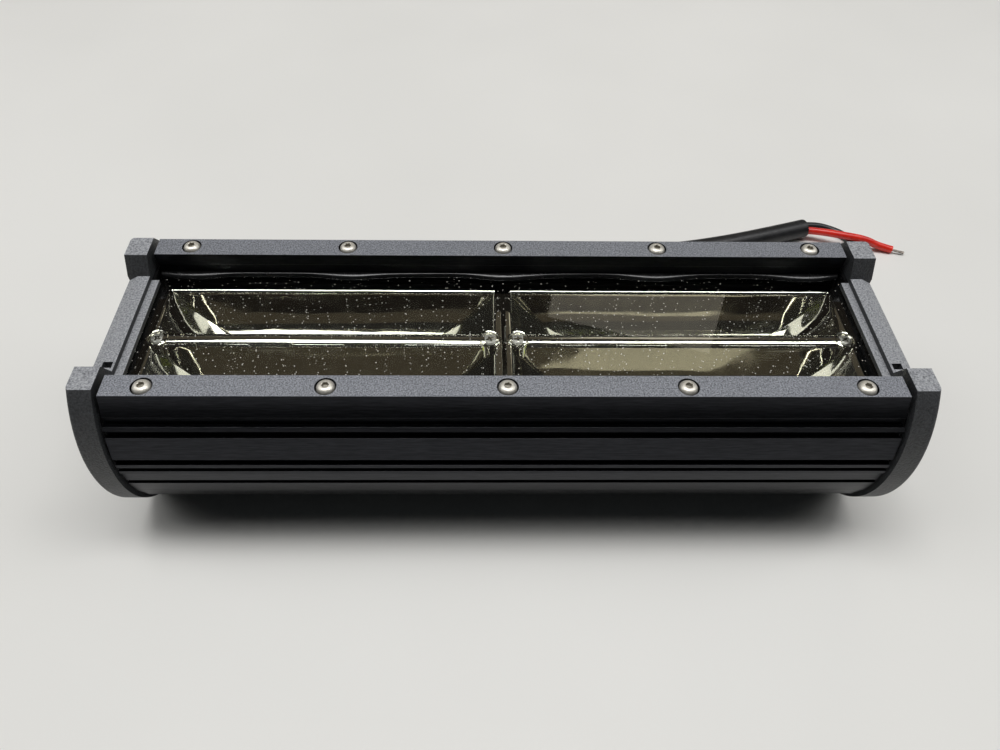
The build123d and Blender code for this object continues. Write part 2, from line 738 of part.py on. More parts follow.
# The free cable leaves the gland level, comes down to the surface and lies on it.
sheath_z = sheath_diameter / 2 + 0.05
sheath_route = [
    (gland_x, sheath_start_y, gland_z),
    (gland_x, 68.0, gland_z),
    (5.0, 83.0, 16.5),
    (17.0, 93.5, 7.6),
    (36.0, 98.5, sheath_z + 0.1),
    (60.0, 99.5, sheath_z),
    (84.0, 101.5, sheath_z),
    (108.0, 106.6, sheath_z),
    (130.0, 112.8, sheath_z),
    (151.0, 119.5, sheath_z),
]
export_tube(sheath_route, sheath_diameter, "cable_sheath")

# The red core passes over the black one on a low hump; the black one turns back behind the bar.
wire_z = wire_diameter / 2 + 0.05
hump_z = 6.1
red_route = [
    (152.5, 118.0, sheath_z),
    (158.0, 116.6, 5.0),
    (167.0, 112.8, hump_z),
    (178.0, 109.6, hump_z),
    (185.2, 109.2, 2.4),
    (191.6, 107.2, wire_z),
]
black_route = [
    (150.8, 121.4, sheath_z),
    (157.9, 123.2, 3.4),
    (165.8, 122.2, 1.95),
    (172.2, 117.4, wire_z),
    (174.8, 109.8, wire_z),
    (173.4, 101.8, wire_z),
    (170.0, 95.0, wire_z),
]
export_tube(red_route, wire_diameter, "wire_red")
export_tube(black_route, wire_diameter, "wire_black")

# bared copper at the end of each core, in line with it
strand_length = 6.0
strand_radius = 0.75
for route, word in ((red_route, "red"), (black_route, "black")):
    strand_direction = Vector(*route[-1]) - Vector(*route[-2])
    with BuildPart() as strands:
        with BuildSketch(Plane(origin=route[-1], z_dir=strand_direction)):
            Circle(strand_radius)
        extrude(amount=strand_length)
    finish_part(strands, f"strands_{word}")

# supply leads from the cable to the terminal block, and LED leads up through the web
lead_diameter = 2.2
for word, lead_x, start_x, bend, lane_z in (
    ("red", terminal_holes[0][0], -1.9, (1.5, 15.0), 26.6),
    ("black", terminal_holes[1][0], 1.9, (6.0, 15.0), 23.4),
):
    lead_route = [
        (start_x, cable_end_y - 0.9, gland_z),
        (bend[0], bend[1], lane_z),
        (36.0 - start_x, 14.6, lane_z - 0.4),
        (lead_x, 12.0, terminal_hole_z),
        (lead_x, 5.0, terminal_hole_z),
    ]
    export_tube(lead_route, lead_diameter, f"supply_lead_{word}")

led_lead_diameter = 1.4
for side, word in ((-1, "left"), (1, "right")):
    led_lead_route = [
        (side * 1.1, led_lead_y, driver_top_z),
        (side * 1.1, led_lead_y, board_top_z + 3.2),
        (side * 7.0, led_lead_y, board_top_z + 0.9),
    ]
    export_tube(led_lead_route, led_lead_diameter, f"led_lead_{word}")
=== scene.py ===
"""LED light bar lying on its back, lens up: the looks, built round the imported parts."""
import bmesh
import bpy
import math
import numpy as np
from mathutils import Matrix, Vector


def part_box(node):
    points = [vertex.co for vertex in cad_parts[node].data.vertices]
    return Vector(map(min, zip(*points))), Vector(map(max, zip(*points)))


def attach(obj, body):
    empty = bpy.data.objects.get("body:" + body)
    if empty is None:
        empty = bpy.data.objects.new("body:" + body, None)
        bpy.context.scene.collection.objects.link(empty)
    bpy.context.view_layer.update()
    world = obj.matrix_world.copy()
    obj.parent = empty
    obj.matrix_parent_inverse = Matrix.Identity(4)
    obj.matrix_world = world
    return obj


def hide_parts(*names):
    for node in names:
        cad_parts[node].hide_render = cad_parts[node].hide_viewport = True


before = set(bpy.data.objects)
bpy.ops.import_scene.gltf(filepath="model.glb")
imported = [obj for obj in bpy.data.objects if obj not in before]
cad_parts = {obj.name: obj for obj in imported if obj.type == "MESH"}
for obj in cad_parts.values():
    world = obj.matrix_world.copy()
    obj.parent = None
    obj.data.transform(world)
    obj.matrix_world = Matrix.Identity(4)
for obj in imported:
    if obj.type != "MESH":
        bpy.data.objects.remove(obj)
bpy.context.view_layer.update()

# ---- Camera ----
# It stands in front of the bar, a little left of its middle, and looks down on the lens.
# A plain wide lens, 27 mm on a 36 mm frame.
camera_place = (-0.0099, -0.1679, 0.2400)
camera_pitch = math.radians(50.52)
camera_yaw = math.radians(1.69)
camera_roll = math.radians(1.41)
camera_data = bpy.data.cameras.new("studio_camera")
camera_data.sensor_width = 36.0
camera_data.lens = 27.0
camera_data.shift_x = 0.01175
camera_data.clip_start = 0.01
forward = Vector((
    math.sin(camera_yaw) * math.cos(camera_pitch),
    math.cos(camera_yaw) * math.cos(camera_pitch),
    -math.sin(camera_pitch),
))
level = Vector((math.cos(camera_yaw), -math.sin(camera_yaw), 0))
upright = level.cross(forward)
right = level * math.cos(camera_roll) + upright * math.sin(camera_roll)
top = upright * math.cos(camera_roll) - level * math.sin(camera_roll)
camera = bpy.data.objects.new("studio_camera", camera_data)
camera.matrix_world = Matrix.Translation(camera_place) @ Matrix((right, top, -forward)).transposed().to_4x4()
bpy.context.scene.collection.objects.link(camera)
bpy.context.scene.camera = camera

# ---- Cable: sheath and two cores ----
# A round cable of soft black PVC comes out of the gland, drops to the table and lies on it.
# Its sheath is cut back, and a red and a black core leave it, their ends bared.
mm = 0.001                 # sizes are in millimetres and meshes in metres
sheath_diameter = 8.8
wire_diameter = 3.5
sheath_route = [
    (0.0, 51.8, 24.0), (0.0, 68.0, 24.0), (5.0, 83.0, 16.5), (17.0, 93.5, 7.6),
    (36.0, 98.5, 4.55), (60.0, 99.5, 4.45), (84.0, 101.5, 4.45), (108.0, 106.6, 4.45),
    (130.0, 112.8, 4.45), (151.0, 119.5, 4.45),
]
red_route = [
    (152.5, 118.0, 4.45), (158.0, 116.6, 5.0), (167.0, 112.8, 6.1), (178.0, 109.6, 6.1),
    (185.2, 109.2, 2.4), (191.6, 107.2, 1.8),
]
black_route = [
    (150.8, 121.4, 4.45), (157.9, 123.2, 3.4), (165.8, 122.2, 1.95), (172.2, 117.4, 1.8),
    (174.8, 109.8, 1.8), (173.4, 101.8, 1.8), (170.0, 95.0, 1.8),
]


def linear(code):
    """sRGB hex colour as linear red, green, blue, alpha: the sRGB curve, taken back."""
    parts = [int(code[i:i + 2], 16) / 255 for i in (0, 2, 4)]
    return [v / 12.92 if v <= 0.04045 else ((v + 0.055) / 1.055) ** 2.4 for v in parts] + [1.0]


def add_node(finish, kind, feeds=(), **settings):
    """Add one shader node: settings are its own properties, feeds fill its sockets by name or number."""
    node = finish.node_tree.nodes.new(kind)
    for key, value in settings.items():
        setattr(node, key, value)
    for key, value in dict(feeds).items():
        if isinstance(value, bpy.types.NodeSocket):
            finish.node_tree.links.new(value, node.inputs[key])
        else:
            node.inputs[key].default_value = value
    return node


def new_finish(name):
    """Empty material, and the position on the piece in metres for its patterns."""
    finish = bpy.data.materials.new(name)
    finish.use_nodes = True
    finish.node_tree.nodes.clear()
    place = add_node(finish, "ShaderNodeTexCoord").outputs["Object"]
    return finish, place


def drifting_finish(name, tones, tone_mm, rough, rough_mm, relief, relief_mm, stretch=(1, 1, 1), sockets=()):
    """Finish whose colour drifts between two sRGB tones, whose roughness drifts over a range, and whose skin
    rises and falls by `relief` mm. Each follows its own noise, its blotches so many mm across and drawn out
    along an axis by the stretch. Constant numbers go straight to the shader's sockets."""
    finish, place = new_finish(name)
    drifts = []
    for size, low, high in ((tone_mm, 0, 1), (rough_mm, rough[0], rough[1]), (relief_mm, 0, 1)):
        scale = [1 / (size * mm * s) for s in stretch]
        spot = add_node(finish, "ShaderNodeMapping", {"Vector": place, "Scale": scale}).outputs["Vector"]
        blotches = {"Vector": spot, "Scale": 1.0, "Detail": 3.0, "Roughness": 0.6}
        noise = add_node(finish, "ShaderNodeTexNoise", blotches)
        spread = {"Value": noise.outputs[0], "From Min": 0.32, "From Max": 0.68, "To Min": low}
        spread["To Max"] = high
        drifts.append(add_node(finish, "ShaderNodeMapRange", spread).outputs["Result"])
    blend = {0: drifts[0], 6: linear(tones[0]), 7: linear(tones[1])}
    lift = {"Height": drifts[2], "Distance": relief * mm}
    feeds = {
        "Base Color": add_node(finish, "ShaderNodeMix", blend, data_type="RGBA").outputs[2],
        "Roughness": drifts[1],
        "Normal": add_node(finish, "ShaderNodeBump", lift).outputs["Normal"],
    }
    feeds.update(sockets)
    shader = add_node(finish, "ShaderNodeBsdfPrincipled", feeds)
    add_node(finish, "ShaderNodeOutputMaterial", {"Surface": shader.outputs[0]})
    return finish


def lay_cord(name, route, diameter, finish):
    """Round cord on one open NURBS spline whose control points are the route's points."""
    curve = bpy.data.curves.new(name, "CURVE")
    curve.dimensions = "3D"
    curve.bevel_depth = diameter / 2 * mm
    curve.bevel_resolution = 8
    curve.use_fill_caps = True
    spline = curve.splines.new("NURBS")
    spline.points.add(len(route) - 1)
    for point, (x, y, z) in zip(spline.points, route):
        point.co = (x * mm, y * mm, z * mm, 1)
    spline.order_u = 3
    spline.use_endpoint_u = True
    spline.resolution_u = 16
    curve.materials.append(finish)
    cord = bpy.data.objects.new(name, curve)
    bpy.context.scene.collection.objects.link(cord)
    return cord


def stands_for(piece, slot, *nodes):
    """The piece rides on the bar and is shown in place of these CAD nodes. The slot is not used."""
    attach(piece, "root")
    if nodes:
        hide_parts(*nodes)
    return piece


# Extruded PVC: even colour with faint handling marks, and a shallow draw ripple under a satin skin, so
# that a long soft highlight runs down each cord.
satin_skin = {"Coat Weight": 0.25, "Coat Roughness": 0.25}
black_sheath = drifting_finish(
    "soft_black_pvc_sheath", ("121214", "1c1c1e"), tone_mm=6.0, rough=(0.36, 0.5), rough_mm=2.5,
    relief=0.03, relief_mm=1.4)
red_insulation = drifting_finish(
    "red_pvc_insulation", ("c8140c", "e8301c"), tone_mm=6.0, rough=(0.28, 0.42), rough_mm=2.5,
    relief=0.03, relief_mm=1.4, sockets=satin_skin)
black_insulation = drifting_finish(
    "black_pvc_insulation", ("0e0e10", "17171a"), tone_mm=6.0, rough=(0.3, 0.44), rough_mm=2.5,
    relief=0.03, relief_mm=1.4, sockets=satin_skin)
sheath = lay_cord("cable_sheath_tube", sheath_route, sheath_diameter, black_sheath)
red_core = lay_cord("red_core", red_route, wire_diameter, red_insulation)
black_core = lay_cord("black_core", black_route, wire_diameter, black_insulation)
stands_for(sheath, "cable_rubber", "cable_sheath")
stands_for(red_core, "red_pvc", "wire_red")
stands_for(black_core, "black_pvc", "wire_black")

# ---- Bared strands ----
# Each core ends in a few millimetres of tinned copper: fine strands twisted together.
# They follow the last run of their core. Six lie round a seventh and fan out towards the tip.
strand_length = 6.0
strand_count = 7
strand_radius = 0.2
strand_ring = 0.38         # from the bundle's middle to an outer strand's middle
strand_lay = 14.0          # length in which a strand goes once round
hidden_start = 0.4         # length of strand inside the core's end
fan_start, fan_rate = 3.5, 0.05


def tube_grid(path, radius, sides=8):
    """Round tube: rings of `sides` points at `radius` round each path point, square to the path.
    The first and last ring shrink to a point, which closes it."""
    ahead = np.gradient(path, axis=0)
    ahead /= np.linalg.norm(ahead, axis=1, keepdims=True)
    across = np.cross(ahead, (0.0, 0.0, 1.0))
    across /= np.linalg.norm(across, axis=1, keepdims=True)
    over = np.cross(across, ahead)
    angle = np.linspace(0, 2 * np.pi, sides, endpoint=False)
    ring = across[:, None] * np.cos(angle)[None, :, None] + over[:, None] * np.sin(angle)[None, :, None]
    size = np.full(len(path), float(radius))
    size[[0, -1]] = 0.0
    return path[:, None] + ring * size[:, None, None]


def skin(name, grids, finishes, crease=35.0, closed=True):
    """Mesh from grids of points in millimetres, each (points, joined round, material number).
    Rows follow one parameter and columns the other. Shared edges are merged."""
    points, quads, slots, start = [], [], [], 0
    for grid, joined, slot in grids:
        rows, columns = grid.shape[:2]
        index = np.arange(rows * columns).reshape(rows, columns) + start
        if joined:
            index = np.concatenate([index, index[:, :1]], axis=1)
        corners = [index[:-1, :-1], index[:-1, 1:], index[1:, 1:], index[1:, :-1]]
        quads.append(np.stack(corners, axis=-1).reshape(-1, 4))
        slots.append(np.full(len(quads[-1]), slot, dtype=np.int32))
        points.append(grid.reshape(-1, 3))
        start += rows * columns
    mesh = bpy.data.meshes.new(name)
    mesh.from_pydata((np.concatenate(points) * mm).tolist(), [], np.concatenate(quads).tolist())
    mesh.polygons.foreach_set("material_index", np.concatenate(slots))
    shape = bmesh.new()
    shape.from_mesh(mesh)
    bmesh.ops.remove_doubles(shape, verts=shape.verts, dist=0.002 * mm)
    bmesh.ops.dissolve_degenerate(shape, edges=shape.edges, dist=0.001 * mm)
    if closed:
        bmesh.ops.recalc_face_normals(shape, faces=shape.faces)
    shape.to_mesh(mesh)
    shape.free()
    for finish in finishes:
        mesh.materials.append(finish)
    mesh.shade_smooth()
    mesh.set_sharp_from_angle(angle=math.radians(crease))
    piece = bpy.data.objects.new(name, mesh)
    bpy.context.scene.collection.objects.link(piece)
    return piece


# Tinned copper: a dull grey metal with a trace of copper, each strand a thin bright line.
bare = {"Metallic": 1.0}
tinned_copper = drifting_finish(
    "tinned_copper_strand", ("6a625c", "a39a92"), tone_mm=1.2, rough=(0.25, 0.45), rough_mm=0.7,
    relief=0.01, relief_mm=0.6, sockets=bare)
bared_ends = {}
for word, route in (("red", red_route), ("black", black_route)):
    tip, before = np.array(route[-1]), np.array(route[-2])
    run = (tip - before) / np.linalg.norm(tip - before)
    aside = np.cross(run, (0.0, 0.0, 1.0))
    aside /= np.linalg.norm(aside)
    above = np.cross(aside, run)
    along = np.linspace(-hidden_start, strand_length, 22)
    strands = []
    for k in range(strand_count):
        fan = strand_ring + fan_rate * np.maximum(along - fan_start, 0) * (1 + 0.5 * math.sin(2.1 * k))
        if k == strand_count - 1:
            fan = np.zeros_like(along)
        lay_angle = 2 * np.pi * (k / (strand_count - 1) + along / strand_lay)
        centre = tip + along[:, None] * run + (fan * np.cos(lay_angle))[:, None] * aside
        centre = centre + (fan * np.sin(lay_angle))[:, None] * above
        strands.append((tube_grid(centre, strand_radius), True, 0))
    bared_ends[word] = skin(f"bared_strands_{word}", strands, [tinned_copper])
    stands_for(bared_ends[word], "copper", f"strands_{word}")

# ---- Cable gland ----
# A nickel-plated brass gland screws into the far flank: hexagon body, seal and a domed nut
# that squeezes the seal round the sheath. The nut tapers down to the cable.
gland_low, gland_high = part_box("gland_nut")
gland_x = (gland_low.x + gland_high.x) / 2 / mm
gland_z = (gland_low.z + gland_high.z) / 2 / mm
nut_start = gland_low.y / mm
nut_length = gland_high.y / mm - nut_start
nut_flat, nut_bore = 8.6, 7.15
mouth_radius, mouth_depth = 4.5, 2.3   # the hole that the sheath leaves by
dome_tip, dome_width = 5.6, 2.9        # radius at the dome's tip, and how much wider its foot is
dome_foot, dome_rise = 5.6, 5.4        # its foot's distance from the nut's end, and its rise


def hexagon(angle):
    """Radius of a hexagon one unit from centre to flat: 1 / cos(angle from the nearest flat's middle)."""
    return 1 / np.cos((angle % (np.pi / 3)) - np.pi / 6)


def turned(profile, centre, axis, sides=48, turn=0.0, outline=hexagon):
    """Turned part: each row of the profile is (radius, height, share of the outline in place of a circle).
    A row's ring is centre + height along the axis + radius times the blend of circle and outline."""
    profile = np.array(profile, dtype=float)
    angle = np.linspace(0, 2 * np.pi, sides, endpoint=False)
    lead = np.array(axis, dtype=float)
    first = np.roll(lead, 1)
    second = np.cross(lead, first)
    share = profile[:, 2:3]
    radius = profile[:, 0:1] * (1 - share + share * outline(angle + turn)[None, :])
    flat = radius[..., None] * (np.cos(angle)[:, None] * first + np.sin(angle)[:, None] * second)
    return np.array(centre, dtype=float) + flat + (profile[:, 1:2] * lead)[:, None, :]


# Nickel plate over turned brass: a warm grey mirror, a little cloudy from handling.
nickel = drifting_finish(
    "nickel_plated_brass", ("8f8a80", "b9b4a9"), tone_mm=1.2, rough=(0.16, 0.3), rough_mm=0.7,
    relief=0.01, relief_mm=0.6, sockets=bare)
dome = [(dome_tip + dome_width * math.cos(t), nut_length - dome_foot + dome_rise * math.sin(t), 0.0)
        for t in np.linspace(0, np.pi / 2, 12)]
nut_profile = [(nut_bore, 0, 0), (8.3, 0, 0), (nut_flat, 0.4, 1), (nut_flat, 6.9, 1), (8.55, 7.5, 0)] + dome
nut_profile += [(mouth_radius, nut_length - 0.2, 0), (mouth_radius, nut_length - mouth_depth, 0),
                (nut_bore, nut_length - mouth_depth, 0), (nut_bore, 0, 0)]
nut_grid = turned(nut_profile, (gland_x, nut_start, gland_z), (0, 1, 0), sides=72)
gland_nut = skin("gland_nut_domed", [(nut_grid, True, 0)], [nickel], crease=28)
stands_for(gland_nut, "brass_nickel", "gland_nut")

# ---- Table and lights ----
# A smooth pale table top under soft ceiling panels. The room is dim in every reflection, and pale only
# where it is seen directly, which gives a plain backdrop.
# Satin paint: an even pale grey with a broad, barely seen drift.
table_finish = drifting_finish(
    "pale_satin_table", ("e2e1dd", "e8e7e3"), tone_mm=300.0, rough=(0.5, 0.6), rough_mm=90.0,
    relief=0.01, relief_mm=3.0, sockets={"Specular IOR Level": 0.25})
table_half = 4000.0
table_corners = np.array([[(-table_half, -table_half, 0), (table_half, -table_half, 0)],
                          [(-table_half, table_half, 0), (table_half, table_half, 0)]])
table = skin("table_top", [(table_corners, False, 0)], [table_finish], closed=False)


def soft_panel(name, place, size, radiance, colour):
    """Rectangular lamp of (width, height) metres that faces the bar. It shines evenly, so its power is its
    radiance times its area times pi."""
    lamp_data = bpy.data.lights.new(name, "AREA")
    lamp_data.shape = "RECTANGLE"
    lamp_data.size, lamp_data.size_y = size
    lamp_data.energy = radiance * math.pi * size[0] * size[1]
    lamp_data.color = linear(colour)[:3]
    lamp = bpy.data.objects.new(name, lamp_data)
    lamp.location = place
    lamp.rotation_euler = (Vector((0, 0, 0)) - Vector(place)).to_track_quat("-Z", "Y").to_euler()
    bpy.context.scene.collection.objects.link(lamp)


soft_lamps = (
    ("ceiling_lamp_left", (-0.45, 0.20, 3.0), (1.1, 1.5), 8.1, "ffffff"),
    ("ceiling_lamp_right", (0.98, 0.20, 3.0), (0.7, 1.5), 7.2, "ffffff"),
    ("ceiling_lamp_far_left", (-2.6, 0.4, 2.6), (2.0, 2.4), 1.8, "ffffff"),
    ("ceiling_lamp_far_right", (2.8, 0.4, 2.6), (2.0, 2.4), 1.8, "ffffff"),
    ("back_wall_glow", (-0.6, 3.2, 2.6), (6.0, 3.0), 0.14, "b8a488"),
    ("back_wall_patch", (0.95, 3.0, 2.4), (0.9, 1.3), 0.9, "ddd6c4"),
    ("back_rim_strip", (0, 3.6, 1.9), (4.0, 0.25), 0.4, "e8e6e0"),
)
for lamp_facts in soft_lamps:
    soft_panel(*lamp_facts)
room = bpy.data.worlds.new("dim_room")
room.use_nodes = True
room.node_tree.nodes.clear()
dim_walls = add_node(room, "ShaderNodeBackground", {"Color": linear("262829")}).outputs[0]
pale_paper = add_node(room, "ShaderNodeBackground", {"Color": linear("d4d4d0")}).outputs[0]
seen_directly = add_node(room, "ShaderNodeLightPath").outputs["Is Camera Ray"]
room_mix = add_node(room, "ShaderNodeMixShader", {0: seen_directly, 1: dim_walls, 2: pale_paper}).outputs[0]
add_node(room, "ShaderNodeOutputWorld", {"Surface": room_mix})
bpy.context.scene.world = room
bpy.context.scene.view_settings.view_transform = "Standard"

# ---- Housing ----
# One length of extruded aluminium, round in section with grooves, ribs and fins, anodised satin black.
# Its sharp corners are tumbled, which rubs the film thin along them. Their lighter tone is that wear and a
# painted highlight.


def merged(node):
    """Copy of a CAD node's triangles with shared corners joined and its flat faces whole again."""
    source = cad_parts[node].data
    points = np.empty(len(source.vertices) * 3, dtype=np.float32)
    source.vertices.foreach_get("co", points)
    corners = np.empty(len(source.loops), dtype=np.int32)
    source.loops.foreach_get("vertex_index", corners)
    mesh = bpy.data.meshes.new(node)
    mesh.from_pydata(points.reshape(-1, 3).tolist(), [], corners.reshape(-1, 3).tolist())
    shape = bmesh.new()
    shape.from_mesh(mesh)
    bmesh.ops.remove_doubles(shape, verts=shape.verts, dist=0.001 * mm)
    bmesh.ops.dissolve_limit(shape, angle_limit=math.radians(0.6), verts=shape.verts, edges=shape.edges)
    shape.to_mesh(mesh)
    shape.free()
    return mesh


def softened(node, name, width, finishes, crease=32.0):
    """A CAD node's shape with its edges rounded `width` mm, the rounded strips in the last finish."""
    mesh = merged(node)
    for finish in finishes:
        mesh.materials.append(finish)
    mesh.shade_smooth()
    mesh.set_sharp_from_angle(angle=math.radians(crease))
    piece = bpy.data.objects.new(name, mesh)
    bpy.context.scene.collection.objects.link(piece)
    rounding = piece.modifiers.new("tumbled_edges", "BEVEL")
    rounding.width = width * mm
    rounding.segments = 2
    rounding.limit_method = "ANGLE"
    rounding.angle_limit = math.radians(crease)
    rounding.material = len(finishes) - 1
    rounding.harden_normals = True
    return piece


# Dyed anodic film over drawn aluminium: a near-black metal sheen with fine lines along the bar. The lines
# are drawn 0.5 mm apart, coarser than the real ones, so that they show.
satin_anodised = drifting_finish(
    "satin_black_anodised_aluminium", ("26272a", "323337"), tone_mm=0.5, rough=(0.3, 0.38),
    rough_mm=9.0, relief=0.012, relief_mm=0.5, stretch=(12, 1, 1), sockets=bare)
# The film is rubbed thin along the corners, which leaves a lighter line. Its tone is also a painted
# highlight on the rounded edges.
anodised_wear_and_painted_highlight = drifting_finish(
    "anodised_edge_wear_and_painted_highlight", ("46474a", "606165"), tone_mm=0.5, rough=(0.32, 0.4), rough_mm=5.0,
    relief=0.01, relief_mm=0.5, sockets=bare)
housing = softened("housing", "housing_extrusion", 0.14, [satin_anodised, anodised_wear_and_painted_highlight])
stands_for(housing, "anodised_aluminium", "housing")

# ---- Bezel rails ----
# Two aluminium strips screwed to the housing hold the lens down. They are blasted before
# they are anodised, which leaves a fine grit. Its light grey sparkle on the tops is painted sheen.
same_height = 0.05         # faces this near the top belong to it


def face_rows(piece, kind):
    """Each face's own "center" or "normal", one row a face."""
    faces = piece.data.polygons
    rows = np.empty(len(faces) * 3)
    faces.foreach_get(kind, rows)
    return rows.reshape(-1, 3)


# Blasted, then anodised: thousands of tiny dents scatter the light. The grainy blue-grey that this gives the
# top is painted sheen, where the smooth sides look black. The grit is drawn 0.45 mm across, where the real
# one is about 0.1 mm, and only the tops carry it here.
blasted_anodised_painted_sheen = drifting_finish(
    "blasted_anodised_painted_top_sheen", ("4c4f56", "a9acb3"), tone_mm=0.45, rough=(0.42, 0.5),
    rough_mm=6.0, relief=0.03, relief_mm=0.45, sockets={"Metallic": 0.35})
for word in ("near", "far"):
    rail = softened(f"bezel_rail_{word}", f"bezel_strip_{word}", 0.2,
                    [satin_anodised, blasted_anodised_painted_sheen, anodised_wear_and_painted_highlight])
    rail_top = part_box(f"bezel_rail_{word}")[1].z
    # Top faces take the light grey grit, a painted sheen.
    painted_light_tops = np.abs(face_rows(rail, "center")[:, 2] - rail_top) < same_height * mm
    rail.data.polygons.foreach_set("material_index", painted_light_tops.astype(np.int32))
    stands_for(rail, "rail_aluminium", f"bezel_rail_{word}")

# ---- Rail screws ----
# Stainless M3 button head screws with a hexagon socket, five in each rail. They pull the rail
# down on the lens, and each stops at its own angle.
m3_head_radius, m3_head_high = 2.8, 1.9
m3_socket_flat = 1.0
m3_shank_radius, m3_shank_length = 1.45, 10.0
rail_screw_xs = (np.arange(5) - 2) * 53.4
# Tumbled stainless steel: a soft, light, slightly warm grey without a sharp mirror. The sockets get a darker
# copy, painted shade in the recess.
stainless = drifting_finish(
    "stainless_steel_button_head", ("dad5c9", "f2eee4"), tone_mm=0.9, rough=(0.34, 0.52),
    rough_mm=0.6, relief=0.02, relief_mm=0.5, sockets={"Metallic": 0.7})
socket_painted_shade = drifting_finish(
    "steel_socket_painted_shade", ("8f897e", "b9b4a8"), tone_mm=0.5, rough=(0.4, 0.6), rough_mm=0.5,
    relief=0.02, relief_mm=0.4, sockets={"Metallic": 0.7})


def button_head(radius, height, flat, shank, length):
    """Profiles of a button head screw's socket, and of its dome and shank down to the tip.
    The dome is a quarter ellipse from the socket's rim down to the head's edge."""
    rim = flat * 1.18
    socket = [(0, height * 0.3, 1), (flat, height * 0.38, 1), (flat, height * 0.93, 1)]
    rows = [(flat, height * 0.93, 1), (rim, height, 0)]
    low = height * 0.18
    for t in np.linspace(np.pi / 2, 0, 14)[1:]:
        rows.append((rim + (radius - rim) * math.cos(t), low + (height - low) * math.sin(t), 0))
    rows += [(radius * 0.97, 0, 0), (shank, 0, 0), (shank, 0.4 - length, 0), (shank * 0.75, -length, 0)]
    return socket, rows + [(0, -length, 0)]


def button_screws(name, places, axis, head_sizes, step):
    """Button head screws, one at each place, each turned `step` radians further than the one before."""
    socket, head = button_head(*head_sizes)
    grids = []
    for k, place in enumerate(places):
        grids += [(turned(socket, place, axis, sides=54, turn=step * k), True, 1),
                  (turned(head, place, axis, sides=54, turn=step * k), True, 0)]
    # The sockets take the darker finish, a painted shade.
    return skin(name, grids, [stainless, socket_painted_shade], crease=24)


for word in ("near", "far"):
    low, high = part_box(f"bezel_screws_{word}")
    screw_y, seat = (low.y + high.y) / 2 / mm, high.z / mm - m3_head_high
    rail_screws = button_screws(
        f"rail_screws_{word}", [(x, screw_y, seat) for x in rail_screw_xs], (0, 0, 1),
        (m3_head_radius, m3_head_high, m3_socket_flat, m3_shank_radius, m3_shank_length), step=0.9)
    stands_for(rail_screws, "stainless", f"bezel_screws_{word}")

# ---- Lens ----
# A flat plate of clear polycarbonate, cut from sheet and clamped by the rails. It mirrors a little,
# and dust lies on its upper face.
# Clear polycarbonate: see-through, with a faint mirror. Both of its faces mirror, and the outer side of
# each carries 1.7 times one face's share, so that the inner side needs none.
both_faces = 1.7
clear_plate, plate_place = new_finish("clear_polycarbonate_dusty")
inner_side = add_node(clear_plate, "ShaderNodeNewGeometry").outputs["Backfacing"]
outer_share = {0: inner_side, 1: -both_faces, 2: both_faces}
outer_side = add_node(clear_plate, "ShaderNodeMath", outer_share, operation="MULTIPLY_ADD").outputs[0]
fresnel = add_node(clear_plate, "ShaderNodeFresnel", {"IOR": 1.58}).outputs[0]
glance = add_node(clear_plate, "ShaderNodeMath", {0: fresnel, 1: outer_side},
                  operation="MULTIPLY", use_clamp=True).outputs[0]
see_through = add_node(clear_plate, "ShaderNodeBsdfTransparent", {"Color": linear("fdfefd")}).outputs[0]
gloss = add_node(clear_plate, "ShaderNodeBsdfGlossy", {"Roughness": 0.02}).outputs[0]
sheet_mix = add_node(clear_plate, "ShaderNodeMixShader", {0: glance, 1: see_through, 2: gloss}).outputs[0]
# Dust in two sizes: the pitch of its cells in mm, a speck's radius in pitches, and the share of the
# cells that hold one.
specks = []
for pitch, size, share in ((4.2, 0.04, 0.4), (1.9, 0.06, 0.12)):
    cells = add_node(clear_plate, "ShaderNodeTexVoronoi", {"Vector": plate_place, "Scale": 1 / (pitch * mm)},
                     voronoi_dimensions="2D").outputs
    hue = add_node(clear_plate, "ShaderNodeSeparateColor", {"Color": cells["Color"]}).outputs[0]
    kept = add_node(clear_plate, "ShaderNodeMath", {0: hue, 1: share}, operation="LESS_THAN").outputs[0]
    near = add_node(clear_plate, "ShaderNodeMath", {0: cells["Distance"], 1: size}, operation="LESS_THAN")
    both = {0: kept, 1: near.outputs[0]}
    specks.append(add_node(clear_plate, "ShaderNodeMath", both, operation="MULTIPLY").outputs[0])
speck = add_node(clear_plate, "ShaderNodeMath", dict(enumerate(specks)), operation="MAXIMUM").outputs[0]
dust = add_node(clear_plate, "ShaderNodeBsdfDiffuse", {"Color": linear("d8d6ce")}).outputs[0]
true_normal = add_node(clear_plate, "ShaderNodeNewGeometry").outputs["True Normal"]
facing = add_node(clear_plate, "ShaderNodeSeparateXYZ", {0: true_normal}).outputs[2]
looks_up = {0: facing, 1: 0.5}
upper_face = add_node(clear_plate, "ShaderNodeMath", looks_up, operation="GREATER_THAN").outputs[0]
dusted = {0: speck, 1: upper_face}
dust_share = add_node(clear_plate, "ShaderNodeMath", dusted, operation="MULTIPLY").outputs[0]
dusty = add_node(clear_plate, "ShaderNodeMixShader", {0: dust_share, 1: sheet_mix, 2: dust}).outputs[0]
add_node(clear_plate, "ShaderNodeOutputMaterial", {"Surface": dusty})
lens = softened("lens", "lens_plate", 0.3, [clear_plate])
stands_for(lens, "clear_lens", "lens")

# ---- Reflectors ----
# Two moulded plastic blocks, vacuum metallised to a mirror, each with two parabolic troughs
# over the LED rows, a flat ridge between them and a screw post at each end of the ridge.
block_length = 117.0
block_top = 53.5
block_x = 59.2             # middle of a block along the bar
half_block_width = 23.9
trough_y = 12.65
trough_low = 37.6
slot_half_length, slot_half_width = 36.0, 2.8
mouth_half_length, mouth_half_width = 57.3, 10.9
steepness = (block_top - trough_low) / (mouth_half_width**2 - slot_half_width**2)
lip_radius = 0.12
ridge_crown = 0.55
ripple_rise = 0.035        # shallow waves that the mould leaves
wall_thick = 1.2


